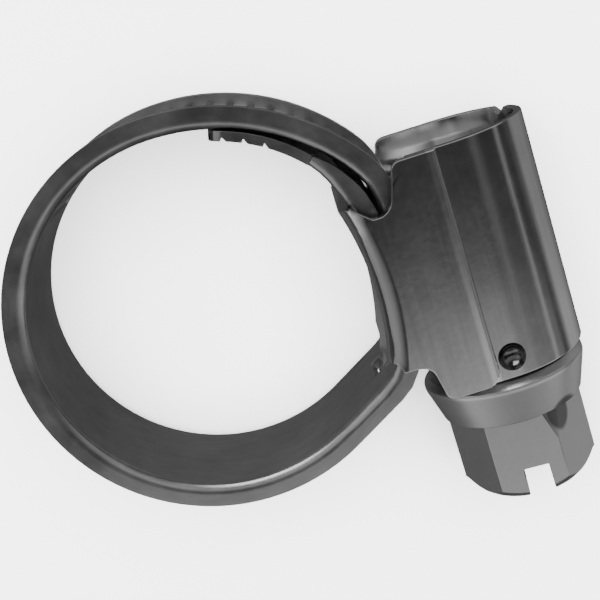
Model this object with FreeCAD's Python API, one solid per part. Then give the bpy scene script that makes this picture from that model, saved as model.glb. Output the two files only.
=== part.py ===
import FreeCAD, Part
import math
import os
from collections import namedtuple

# Worm-drive hose clamp for a 9 mm band, opened to its largest size.
#
# Three separate pieces: the band, the folded sheet housing and the worm screw.
# Frame: the origin is the centre of the ring, half-way across the band. +Z is the axis of the hose,
# +X points from the hose to the housing, and the screw lies parallel to Y with its head towards -Y.
# All lengths are in millimetres and all angles in degrees.

# Ring and band strip. Radii of the strip are those of its hose side.
RING_RADIUS = 10.6
BAND_WIDTH = 9.0
BAND_THICKNESS = 0.6
EDGE_HEIGHT = 1.35
EDGE_BEND = 0.9
BEND_FLATS = 3
TONGUE_WIDTH = 8.6
SLIP_GAP = 0.05

# Pressed ribs that the worm drives
RIB_PITCH = 1.2
RIB_HEIGHT = 0.3
RIB_BASE = 0.62
RIB_TOP = 0.24
RIB_LENGTH = 6.6
GROOVE_DEPTH = 0.25
RIB_SINK = 0.1
FIRST_RIB = 1.4
LAST_RIB_ANGLE = 135.0
TONGUE_GROOVES = 3
TONGUE_FIRST_GROOVE = 0.75

# Free end of the band, from its tip inside the housing to the ring
TAIL_Y = -5.9
TAIL_FLAT = 1.2
TAIL_CORNER = 1.8
ENTRY_BEND = 4.0
APPROACH_EASE = 2.2
RING_START = 93.0

# Fixed end of the band, from the ring through the housing to the tip of the tongue
RING_END = 300.0
CRANK_BEND = 2.0
SADDLE_RADIUS = 18.0
SADDLE_SINK = 0.95
SADDLE_Y = -1.4
SADDLE_END = 20.0
MOUTH_BEND = 5.0
MOUTH_BEND_ANGLE = 22.0
TONGUE_RADIUS = 9.8
TONGUE_ANGLE = 34.0
TONGUE_CORNER = 0.9
FIXED_EDGE_HEIGHT = 0.95

# Housing, folded from one sheet and lapped on its near side
SHEET = 0.55
BASE_SHEET = 0.5
BORE_CLEARANCE = 0.45
BARREL_SHEET = 0.7
LOWER_BEND = 1.2
MOUTH_Y = 5.3
EXIT_Y = -8.9
WALL_TOP_OF_MOUTH = 0.55
WALL_MOUTH_Y = 2.75
BASE_MOUTH_Y = 3.65
MOUTH_SLANT = 0.65
BASE_LIP = 0.5
WALL_TOP_OF_EXIT = 0.2
WALL_EXIT_Y = -6.5
WALL_EXIT_LIP = 0.2
EXIT_SLANT = 0.35
BASE_EXIT_MARGIN = 0.1
BEYOND_END = 1.0
LAP_EDGE = 0.75
LAP_LENGTH = 1.8
CORNER_RADIUS = 0.7

# Lock: a tab of the base plate that stands through a window in the fixed end of the band
LOCK_TAB_WIDTH = 2.3
LOCK_TAB_LENGTH = 2.2
WINDOW_MARGIN = 0.1
WINDOW_BEFORE_CRANK = 0.75
WINDOW_CRANK_SHARE = 0.9

# Notch in the rim of the barrel
NOTCH_WIDTH = 1.3
NOTCH_DEPTH = 0.45
NOTCH_ANGLE = 27.0

# Stake: the dimple that keeps the screw in the housing
STAKE_RADIUS = 1.05
STAKE_FROM_EXIT = 1.1
STAKE_DEPTH = 0.75
STAKE_WALL = 0.2
STAKE_TIP_SHARE = 0.7
STAKE_DENT_SHARE = 0.4

# Screw
WORM_RADIUS = 4.05
THREAD_DEPTH = 0.55
THREAD_CREST = 0.22
THREAD_ROOT = 0.66
WORM_RUN_GAP = 0.05
WORM_TIP_Y = 4.1
WORM_FOOT_Y = -6.3
THREAD_SINK = 0.12
THREAD_FLATS = 20
THREAD_TIP_MARGIN = 0.4
WORM_TIP_CHAMFER = 0.5
NECK_RADIUS = 3.4
NECK_TAPER = 0.3
COLLAR_RADIUS = 5.05
COLLAR_FOOT_RADIUS = 4.4
COLLAR_LENGTH = 2.85
COLLAR_RIM = 0.3
COLLAR_CHAMFER = 0.4
COLLAR_GAP = 0.3
HEX_ACROSS_FLATS = 7.3
HEX_LENGTH = 5.4
HEX_CHAMFER = 0.9
HEX_SIDES = 6
RECESS_RADIUS = 0.75
RECESS_LENGTH = 2.6
RECESS_SHIFT = 0.15
SLOT_WIDTH = 1.6
SLOT_DEPTH = 2.0
SCREW_TURN = 6.0

# Places that follow from the sizes above
BASE_CROWN_X = RING_RADIUS - SADDLE_SINK
FIXED_CROWN_X = BASE_CROWN_X + BASE_SHEET + SLIP_GAP
FREE_X = FIXED_CROWN_X + FIXED_EDGE_HEIGHT + SLIP_GAP
RUN_X = FREE_X + BAND_THICKNESS + WORM_RUN_GAP
AXIS_X = RUN_X + WORM_RADIUS
APPROACH_RADIUS = RING_RADIUS + APPROACH_EASE
SADDLE_CENTRE_X = BASE_CROWN_X - SADDLE_RADIUS
FIXED_RADIUS = FIXED_CROWN_X - SADDLE_CENTRE_X
BORE_RADIUS = WORM_RADIUS + BORE_CLEARANCE
BARREL_RADIUS = BORE_RADIUS + BARREL_SHEET
FAR_WALL_INNER = BAND_WIDTH / 2 + 2 * SLIP_GAP
FAR_WALL_OUTER = FAR_WALL_INNER + SHEET
NEAR_WALL_INNER = max(BARREL_RADIUS, FAR_WALL_INNER)
NEAR_WALL_OUTER = NEAR_WALL_INNER + SHEET
STAKE_Y = EXIT_Y + STAKE_FROM_EXIT
COLLAR_Y = EXIT_Y - COLLAR_GAP
HEX_Y = COLLAR_Y - COLLAR_LENGTH
HEAD_END_Y = HEX_Y - HEX_LENGTH
HEX_CORNER = HEX_ACROSS_FLATS / 2 / math.cos(math.pi / HEX_SIDES)
THREAD_START_Y = WORM_FOOT_Y + THREAD_ROOT / 2
THREAD_AT_BAND_Y = THREAD_START_Y + RIB_PITCH * (0.5 + SCREW_TURN / 360)
FAR = 40.0
BIT = 0.1

Stretch = namedtuple("Stretch", "start heading length radius angle")
ALONG_Y = FreeCAD.Vector(0, 1, 0)
ALONG_Z = FreeCAD.Vector(0, 0, 1)


def vector(x, y, z=0.0):
    return FreeCAD.Vector(x, y, z)


def unit(angle):
    """Unit vector in the plane of the ring."""
    return vector(math.cos(math.radians(angle)), math.sin(math.radians(angle)))


class StripPath:
    """Hose-side line of the strip in the plane of the ring: straights and left-hand bends, each tangent to the last."""

    def __init__(self, start, heading):
        self.end = start
        self.heading = heading
        self.length = 0.0
        self.stretches = {}

    def _add(self, name, stretch, end):
        self.stretches[name] = stretch
        self.end = end
        self.heading = stretch.heading + stretch.angle
        self.length += stretch.length

    def line(self, name, length):
        end = self.end + unit(self.heading) * length
        self._add(name, Stretch(self.end, self.heading, length, None, 0.0), end)

    def bend(self, name, radius, angle):
        centre = self.end + unit(self.heading + 90) * radius
        end = centre - unit(self.heading + angle + 90) * radius
        length = radius * math.radians(angle)
        self._add(name, Stretch(self.end, self.heading, length, radius, angle), end)

    def locate(self, distance):
        """Point and heading at a distance along the path."""
        *earlier, last = self.stretches.values()
        for stretch in earlier:
            if distance <= stretch.length:
                break
            distance -= stretch.length
        else:
            stretch = last
        if stretch.radius is None:
            return stretch.start + unit(stretch.heading) * distance, stretch.heading
        centre = stretch.start + unit(stretch.heading + 90) * stretch.radius
        heading = stretch.heading + math.degrees(distance / stretch.radius)
        return centre - unit(heading + 90) * stretch.radius, heading


def band_path():
    """Path of the band from the tip of its free end, once round the ring, to the tip of the tongue."""
    # The free end runs straight under the worm, then swings out in two bends that meet the ring circle
    approach_centre = unit(RING_START) * (RING_RADIUS - APPROACH_RADIUS)
    entry_x = FREE_X - ENTRY_BEND
    reach = APPROACH_RADIUS - ENTRY_BEND
    entry_y = approach_centre.y + math.sqrt(reach**2 - (entry_x - approach_centre.x) ** 2)
    entry_angle = math.degrees(math.atan2(entry_y - approach_centre.y, entry_x - approach_centre.x))
    path = StripPath(vector(FREE_X, TAIL_Y), 90.0)
    path.line("tail", entry_y - TAIL_Y)
    path.bend("entry", ENTRY_BEND, entry_angle)
    path.bend("approach", APPROACH_RADIUS, RING_START - entry_angle)
    path.bend("ring", RING_RADIUS, RING_END - RING_START)

    # The fixed end leaves the ring on a tangent and is cranked on to the saddle arc
    saddle_centre = vector(SADDLE_CENTRE_X, SADDLE_Y)
    ahead = unit(path.heading)
    to_line = path.end + unit(path.heading + 90) * CRANK_BEND - saddle_centre
    along = to_line.dot(ahead)
    straight = -along + math.sqrt(along**2 - to_line.dot(to_line) + (FIXED_RADIUS - CRANK_BEND) ** 2)
    crank_centre = to_line + ahead * straight
    saddle_start = math.degrees(math.atan2(crank_centre.y, crank_centre.x))
    path.line("leave", straight)
    path.bend("crank", CRANK_BEND, saddle_start + 450 - path.heading)
    path.bend("saddle", FIXED_RADIUS, SADDLE_END - saddle_start)
    path.bend("mouth", MOUTH_BEND, MOUTH_BEND_ANGLE)
    path.bend("tongue", TONGUE_RADIUS, TONGUE_ANGLE)
    return path


def bend_corners(centre, radius, start, end):
    """Corners of a rounded edge, drawn as a few flats so that the long bends stay light."""
    corners = []
    for index in range(BEND_FLATS + 1):
        angle = math.radians(start + (end - start) * index / BEND_FLATS)
        corners.append((centre[0] + radius * math.cos(angle), centre[1] + radius * math.sin(angle)))
    return corners


def channel_section(height):
    """Section of the strip with both edges turned up, as corners (distance from the hose side, z)."""
    half = BAND_WIDTH / 2
    centre = (EDGE_BEND, half - EDGE_BEND)
    upper = bend_corners(centre, EDGE_BEND, 180, 90)
    upper += [(height, half), (height, half - BAND_THICKNESS)]
    upper += bend_corners(centre, EDGE_BEND - BAND_THICKNESS, 90, 180)
    return upper + [(out, -z) for out, z in reversed(upper)]


def flat_section(width, low=0.0, high=BAND_THICKNESS):
    """Section of a flat strip, as corners (distance from the hose side, z)."""
    half = width / 2
    return [(low, half), (high, half), (high, -half), (low, -half)]


def section_face(section, origin, out):
    """Face of a section standing at a point of the path, with its first coordinate along out."""
    corners = [origin + out * distance + ALONG_Z * z for distance, z in section]
    return Part.Face(Part.makePolygon(corners + corners[:1]))


def strip(stretch, section):
    """Solid of one stretch of the path."""
    face = section_face(section, stretch.start, unit(stretch.heading - 90))
    if stretch.radius is None:
        return face.extrude(unit(stretch.heading) * stretch.length)
    centre = stretch.start + unit(stretch.heading + 90) * stretch.radius
    return face.revolve(centre, ALONG_Z, stretch.angle)


def local_placement(point, heading):
    """Placement with local x along the strip, y across it and z away from the hose."""
    rotation = FreeCAD.Rotation(unit(heading), ALONG_Z, unit(heading - 90), "XZY")
    return FreeCAD.Placement(point, rotation)


def rib_prism(width, low, high, base, top):
    """Bar across the strip with a trapezium section, slanted by the lead of the worm."""
    lead_angle = math.atan(RIB_PITCH / (2 * math.pi * WORM_RADIUS))
    shift = math.tan(lead_angle) * width / 2
    ends = []
    for side in (-1, 1):
        y = side * width / 2
        x = side * shift
        corners = [
            vector(x - base / 2, y, low),
            vector(x + base / 2, y, low),
            vector(x + top / 2, y, high),
            vector(x - top / 2, y, high),
        ]
        ends.append(Part.makePolygon(corners + corners[:1]))
    return Part.makeLoft(ends, True, True)


def rib(place):
    """Outward rib at a place on the path."""
    bar = rib_prism(RIB_LENGTH, BAND_THICKNESS - RIB_SINK, BAND_THICKNESS + RIB_HEIGHT, RIB_BASE, RIB_TOP)
    bar.Placement = local_placement(*place)
    return bar


def groove(place, length):
    """Tool for the groove that a rib leaves in the hose side."""
    bar = rib_prism(length, -BIT, GROOVE_DEPTH, RIB_BASE, RIB_TOP)
    bar.Placement = local_placement(*place)
    return bar


def rounded_tip(solid, place, width, corner, ahead):
    """Solid of a strip with the two corners of its tip rounded. The strip lies ahead of its tip, or behind it."""
    plan = Part.makeBox(FAR, width, FAR, vector(0, -width / 2, -FAR / 2))
    corners = [e for e in plan.Edges if abs(e.CenterOfMass.x) < 1e-6 and abs(e.CenterOfMass.z) < 1e-6]
    plan = plan.makeFillet(corner, corners)
    if not ahead:
        plan.rotate(vector(0, 0), ALONG_Z, 180)
    plan.Placement = local_placement(*place).multiply(plan.Placement)
    return solid.common(plan)


def slide_space(stretches):
    """Space that the free end takes up over the fixed end, with the gap that lets it slide."""
    section = flat_section(2 * BAND_WIDTH, -SLIP_GAP, 2 * EDGE_HEIGHT)
    solids = [strip(stretch, section) for stretch in stretches]
    return solids[0].multiFuse(solids[1:])


def lock_window(leave, crank):
    """Tools for the window that the lock tab stands through: the last of the straight and most of the crank."""
    section = flat_section(LOCK_TAB_WIDTH + 2 * WINDOW_MARGIN, -BIT, BAND_THICKNESS + BIT)
    start = leave.start + unit(leave.heading) * (leave.length - WINDOW_BEFORE_CRANK)
    straight = leave._replace(start=start, length=WINDOW_BEFORE_CRANK)
    bend = crank._replace(angle=crank.angle * WINDOW_CRANK_SHARE)
    return [strip(straight, section), strip(bend, section)]


def rib_distances(last):
    """Distances from the tip of the free end at which the ribs lie, half-way between turns of the thread."""
    least = TAIL_Y + FIRST_RIB
    first = least + (THREAD_AT_BAND_Y + RIB_PITCH / 2 - least) % RIB_PITCH
    count = int((last - (first - TAIL_Y)) / RIB_PITCH) + 1
    return [first - TAIL_Y + index * RIB_PITCH for index in range(count)]


def make_band():
    path = band_path()
    tail, entry, approach, ring, leave, crank, saddle, mouth, tongue = path.stretches.values()
    channel = channel_section(EDGE_HEIGHT)
    solids = [strip(stretch, channel) for stretch in (entry, approach, ring, leave, crank)]

    # Free end: edges trimmed short of a rounded tip
    tip = path.locate(0.0)
    trim = Part.makeBox(TAIL_FLAT + BIT, 2 * BAND_WIDTH, FAR, vector(-BIT, -BAND_WIDTH, BAND_THICKNESS))
    trim.Placement = local_placement(*tip)
    solids.append(rounded_tip(strip(tail, channel).cut(trim), tip, BAND_WIDTH, TAIL_CORNER, True))

    # Fixed end: under the free end the turned edges are dressed down, and they run out before the tongue
    dressed = slide_space((tail, entry, approach))
    solids.extend(strip(stretch, channel).cut(dressed) for stretch in (saddle, mouth))
    tip = path.locate(path.length)
    solids.append(rounded_tip(strip(tongue, flat_section(TONGUE_WIDTH)), tip, TONGUE_WIDTH, TONGUE_CORNER, False))
    band = solids[0].multiFuse(solids[1:]).removeSplitter()

    last = tail.length + entry.length + approach.length
    last += RING_RADIUS * math.radians(LAST_RIB_ANGLE - RING_START)
    places = [path.locate(distance) for distance in rib_distances(last)]
    ribs = [rib(place) for place in places]
    grooves = [groove(place, RIB_LENGTH) for place in places]
    for index in range(TONGUE_GROOVES):
        place = path.locate(path.length - TONGUE_FIRST_GROOVE - index * RIB_PITCH)
        grooves.append(groove(place, TONGUE_WIDTH + 2 * BIT))
    return band.multiFuse(ribs).cut(grooves + lock_window(leave, crank)).removeSplitter()


def extrude_outline(points, low, high):
    """Prism with a closed outline in the plane of the ring, from z low to z high."""
    corners = [vector(x, y, low) for x, y in points]
    return Part.Face(Part.makePolygon(corners + corners[:1])).extrude(vector(0, 0, high - low))


def along_screw(radius, start, length):
    """Round bar on the axis of the screw."""
    return Part.makeCylinder(radius, length, vector(AXIS_X, start, 0), ALONG_Y)


def housing_core(near, far, barrel_radius, bottom_radius, bend, shoulder_x):
    """Solid of the housing's outside or inside: a barrel over two flat sides, closed by the saddle arc.

    The near side steps in to the barrel at shoulder_x, where the sheet is lapped. The far side leans in from there.
    """
    outline = [
        (0, near),
        (shoulder_x, near),
        (shoulder_x, barrel_radius),
        (AXIS_X, barrel_radius),
        (AXIS_X, -barrel_radius),
        (shoulder_x, -far),
        (0, -far),
    ]
    corners = [vector(x, EXIT_Y, z) for x, z in outline]
    length = MOUTH_Y - EXIT_Y
    sides = Part.Face(Part.makePolygon(corners + corners[:1])).extrude(ALONG_Y * length)
    barrel = along_screw(barrel_radius, EXIT_Y, length)
    hose = Part.makeCylinder(bottom_radius, FAR, vector(SADDLE_CENTRE_X, SADDLE_Y, -FAR / 2), ALONG_Z)
    core = barrel.fuse(sides).removeSplitter().cut(hose)
    corners = []
    for edge in core.Edges:
        middle = edge.valueAt((edge.FirstParameter + edge.LastParameter) / 2)
        from_saddle = math.hypot(middle.x - SADDLE_CENTRE_X, middle.y - SADDLE_Y)
        on_side = abs(middle.z - near) < 1e-4 or abs(middle.z + far) < 1e-4
        if on_side and abs(from_saddle - bottom_radius) < 1e-4:
            corners.append(edge)
    return core.makeFillet(bend, corners)


def make_housing():
    lap_x = AXIS_X - LAP_EDGE
    outside = housing_core(NEAR_WALL_OUTER, FAR_WALL_OUTER, BARREL_RADIUS, SADDLE_RADIUS, LOWER_BEND, lap_x)
    inside = housing_core(
        NEAR_WALL_INNER,
        FAR_WALL_INNER,
        BORE_RADIUS,
        SADDLE_RADIUS + BASE_SHEET,
        LOWER_BEND - SHEET,
        lap_x - LAP_LENGTH,
    )
    housing = outside.cut(inside)

    # Mouth: the lower walls start further in than the barrel, so the free end can swing into the housing
    mouth_x = FREE_X + WALL_TOP_OF_MOUTH
    mouth = extrude_outline(
        [
            (mouth_x + MOUTH_SLANT, MOUTH_Y + BEYOND_END),
            (mouth_x + MOUTH_SLANT, MOUTH_Y),
            (mouth_x, WALL_MOUTH_Y),
            (FIXED_CROWN_X + BASE_LIP, WALL_MOUTH_Y),
            (BASE_CROWN_X, BASE_MOUTH_Y),
            (0, BASE_MOUTH_Y),
            (0, MOUTH_Y + BEYOND_END),
        ],
        -FAR / 2,
        FAR / 2,
    )
    inner_corner = [
        e
        for e in mouth.Edges
        if abs(e.CenterOfMass.x - mouth_x) < 1e-6 and abs(e.CenterOfMass.y - WALL_MOUTH_Y) < 1e-6
    ]
    mouth = mouth.makeFillet(CORNER_RADIUS, inner_corner)

    # Exit: the lower walls stop short of the barrel in the same way, and the base plate before the crank
    exit_x = FREE_X + WALL_TOP_OF_EXIT
    saddle = band_path().stretches["saddle"]
    base_exit_y = saddle.start.y + BASE_EXIT_MARGIN
    exit_cut = extrude_outline(
        [
            (exit_x + EXIT_SLANT, EXIT_Y - BEYOND_END),
            (exit_x + EXIT_SLANT, EXIT_Y),
            (exit_x, WALL_EXIT_Y),
            (BASE_CROWN_X + WALL_EXIT_LIP, WALL_EXIT_Y),
            (BASE_CROWN_X, base_exit_y),
            (0, base_exit_y),
            (0, EXIT_Y - BEYOND_END),
        ],
        -FAR / 2,
        FAR / 2,
    )
    inner_corner = [
        e
        for e in exit_cut.Edges
        if abs(e.CenterOfMass.x - exit_x) < 1e-6 and abs(e.CenterOfMass.y - WALL_EXIT_Y) < 1e-6
    ]
    exit_cut = exit_cut.makeFillet(CORNER_RADIUS, inner_corner)
    tab_end_y = base_exit_y - LOCK_TAB_LENGTH
    tab_keep = Part.makeBox(
        BASE_CROWN_X + BASE_SHEET, base_exit_y - tab_end_y, LOCK_TAB_WIDTH, vector(0, tab_end_y, -LOCK_TAB_WIDTH / 2)
    )
    exit_cut = exit_cut.cut(tab_keep)

    # Notch in the rim of the barrel
    notch = Part.makePolygon(
        [
            vector(0, MOUTH_Y, -NOTCH_WIDTH / 2),
            vector(0, MOUTH_Y - NOTCH_DEPTH, 0),
            vector(0, MOUTH_Y, NOTCH_WIDTH / 2),
            vector(0, MOUTH_Y, -NOTCH_WIDTH / 2),
        ]
    )
    notch = Part.Face(notch).extrude(vector(2 * BARREL_RADIUS, 0, 0))
    notch.rotate(vector(0, 0), ALONG_Y, NOTCH_ANGLE)
    notch.translate(vector(AXIS_X, 0, 0))
    housing = housing.cut([mouth, exit_cut, notch])

    # Stake pressed in behind the worm, to keep the screw in the housing
    stake_tip = BORE_RADIUS - STAKE_DEPTH
    wall_middle = (BORE_RADIUS + BARREL_RADIUS) / 2
    middle = vector(AXIS_X, STAKE_Y, wall_middle)
    tip_radius = STAKE_RADIUS * STAKE_TIP_SHARE
    boss = Part.makeCone(STAKE_RADIUS, tip_radius, wall_middle - stake_tip, middle, ALONG_Z * -1)
    rim = vector(AXIS_X, STAKE_Y, BARREL_RADIUS + STAKE_WALL)
    dent_radius = STAKE_RADIUS * STAKE_DENT_SHARE
    dent = Part.makeCone(STAKE_RADIUS, dent_radius, BARREL_RADIUS - stake_tip, rim, ALONG_Z * -1)
    return housing.fuse(boss).cut(dent).removeSplitter()


def turned_blank():
    """Turned form of the screw, from the neck to the end of the head."""
    profile = [
        (0, WORM_FOOT_Y),
        (NECK_RADIUS - NECK_TAPER, WORM_FOOT_Y),
        (NECK_RADIUS, WORM_FOOT_Y - NECK_TAPER),
        (NECK_RADIUS, COLLAR_Y),
        (COLLAR_RADIUS - COLLAR_CHAMFER, COLLAR_Y),
        (COLLAR_RADIUS, COLLAR_Y - COLLAR_CHAMFER),
        (COLLAR_RADIUS, COLLAR_Y - COLLAR_CHAMFER - COLLAR_RIM),
        (COLLAR_FOOT_RADIUS, HEX_Y),
        (HEX_CORNER, HEX_Y),
        (HEX_CORNER, HEAD_END_Y + HEX_CHAMFER),
        (HEX_CORNER - HEX_CHAMFER, HEAD_END_Y),
        (0, HEAD_END_Y),
    ]
    corners = [vector(x, y) for x, y in profile]
    return Part.Face(Part.makePolygon(corners + corners[:1])).revolve(vector(0, 0), ALONG_Y, 360)


def make_core():
    """Core of the worm, with a flat for every piece of the thread, so that the two meet in straight lines."""
    root = WORM_RADIUS - THREAD_DEPTH
    rings = [
        (root, WORM_FOOT_Y - BIT),
        (root, WORM_TIP_Y - WORM_TIP_CHAMFER),
        (root - WORM_TIP_CHAMFER, WORM_TIP_Y),
    ]
    sections = []
    for radius, y in rings:
        corners = []
        for index in range(THREAD_FLATS):
            out = unit(-360 * index / THREAD_FLATS) * radius
            corners.append(vector(out.x, y, out.y))
        sections.append(Part.makePolygon(corners + corners[:1]))
    return Part.makeLoft(sections, True, True)


def make_thread():
    """Helical ridge of the worm, about the Y axis, in short straight pieces."""
    root = WORM_RADIUS - THREAD_DEPTH - THREAD_SINK
    length = WORM_TIP_Y - WORM_FOOT_Y - THREAD_TIP_MARGIN - THREAD_ROOT
    count = round(THREAD_FLATS * length / RIB_PITCH)
    section = [
        (root, -THREAD_ROOT / 2),
        (WORM_RADIUS, -THREAD_CREST / 2),
        (WORM_RADIUS, THREAD_CREST / 2),
        (root, THREAD_ROOT / 2),
    ]
    sections = []
    for index in range(count + 1):
        out = unit(-360 * index / THREAD_FLATS)
        rise = THREAD_START_Y + RIB_PITCH * index / THREAD_FLATS
        corners = [vector(out.x * radius, rise + y, out.y * radius) for radius, y in section]
        sections.append(Part.makePolygon(corners + corners[:1]))
    return Part.makeLoft(sections, True, True)


def corner_recess():
    """Tool for the hollow that tapers down one corner of the hexagon from the collar."""
    out = unit(-360 / HEX_SIDES) * (HEX_CORNER + RECESS_SHIFT)
    return Part.makeCone(RECESS_RADIUS, 0, RECESS_LENGTH, vector(out.x, HEX_Y, out.y), ALONG_Y * -1)


def make_screw():
    blank = turned_blank()
    hexagon = []
    for index in range(HEX_SIDES):
        corner = unit(360 * index / HEX_SIDES) * HEX_CORNER
        hexagon.append(vector(corner.x, HEX_Y, corner.y))
    prism = Part.Face(Part.makePolygon(hexagon + hexagon[:1])).extrude(vector(0, -FAR, 0))
    keep = along_screw(FAR, HEX_Y, FAR)
    keep.translate(vector(-AXIS_X, 0, 0))
    slot = Part.makeBox(SLOT_WIDTH, 2 * SLOT_DEPTH, FAR, vector(-SLOT_WIDTH / 2, HEAD_END_Y - SLOT_DEPTH, -FAR / 2))
    screw = blank.common(prism.fuse(keep)).cut(slot)
    screw = screw.cut(corner_recess()).multiFuse([make_core(), make_thread()]).removeSplitter()
    screw.rotate(vector(0, 0), ALONG_Y, -SCREW_TURN)
    screw.translate(vector(AXIS_X, 0, 0))
    return screw


def main():
    os.makedirs("parts", exist_ok=True)
    pieces = {"band": make_band(), "housing": make_housing(), "screw": make_screw()}
    for name, shape in pieces.items():
        shape.exportStep(os.path.join("parts", name + ".step"))
        print(name, shape.isValid(), len(shape.Solids), "solid(s)", round(shape.Volume, 2), "mm3")


main()
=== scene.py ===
"""Worm-drive hose clamp: bright band, folded housing and slotted hexagon screw.

The three pieces of metal are modelled flat or as blanks in millimetres, the way the real ones are made:
strip is folded and then bent to its path, sheet is folded round a mandrel, and the screw is turned from a
round bar. They are then brought to metres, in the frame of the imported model.
"""

import logging
import math
from dataclasses import dataclass, field
from enum import Enum
from typing import Callable, NamedTuple, Sequence, Union

import bmesh
import bpy
from mathutils import Matrix, Quaternion, Vector

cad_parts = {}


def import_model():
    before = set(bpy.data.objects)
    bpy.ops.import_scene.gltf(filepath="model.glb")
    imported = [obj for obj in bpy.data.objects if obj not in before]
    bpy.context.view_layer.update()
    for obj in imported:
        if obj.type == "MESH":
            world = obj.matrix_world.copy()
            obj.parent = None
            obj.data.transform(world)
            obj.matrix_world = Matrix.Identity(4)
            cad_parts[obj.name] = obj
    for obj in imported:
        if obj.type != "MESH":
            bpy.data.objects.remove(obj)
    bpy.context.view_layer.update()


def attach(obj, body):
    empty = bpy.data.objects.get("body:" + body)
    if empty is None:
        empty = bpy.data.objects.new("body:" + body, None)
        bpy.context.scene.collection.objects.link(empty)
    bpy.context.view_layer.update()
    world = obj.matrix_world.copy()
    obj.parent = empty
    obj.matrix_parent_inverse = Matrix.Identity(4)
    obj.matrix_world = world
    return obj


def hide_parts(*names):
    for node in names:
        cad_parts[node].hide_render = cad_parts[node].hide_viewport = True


LOG = logging.getLogger("clamp")
MM = 0.001
# Distances in millimetres at which two places count as one.
NEAR = 1e-4
LOOSE = 1e-3
CUT_TOLERANCE = 1e-5
# Part of a face's normal from which the face counts as lying square to an axis.
SQUARE = 0.9
# Degrees between the points of a rounded corner.
CORNER_STEP = 15
# Face attribute that carries the band's painted shade on the ribs and painted reflection between them.
RIB_SHADE_MARK = "rib"
ALONG_X = Vector((1, 0, 0))
ALONG_Y = Vector((0, 1, 0))
ALONG_Z = Vector((0, 0, 1))


class Slot(Enum):
    """Material slots of the record."""

    BAND = "band_steel"
    HOUSING = "housing_steel"
    SCREW = "screw_steel"


class Cut(Enum):
    """How a tool acts on a blank."""

    AWAY = "DIFFERENCE"
    INSIDE = "INTERSECT"
    ONTO = "UNION"


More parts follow.
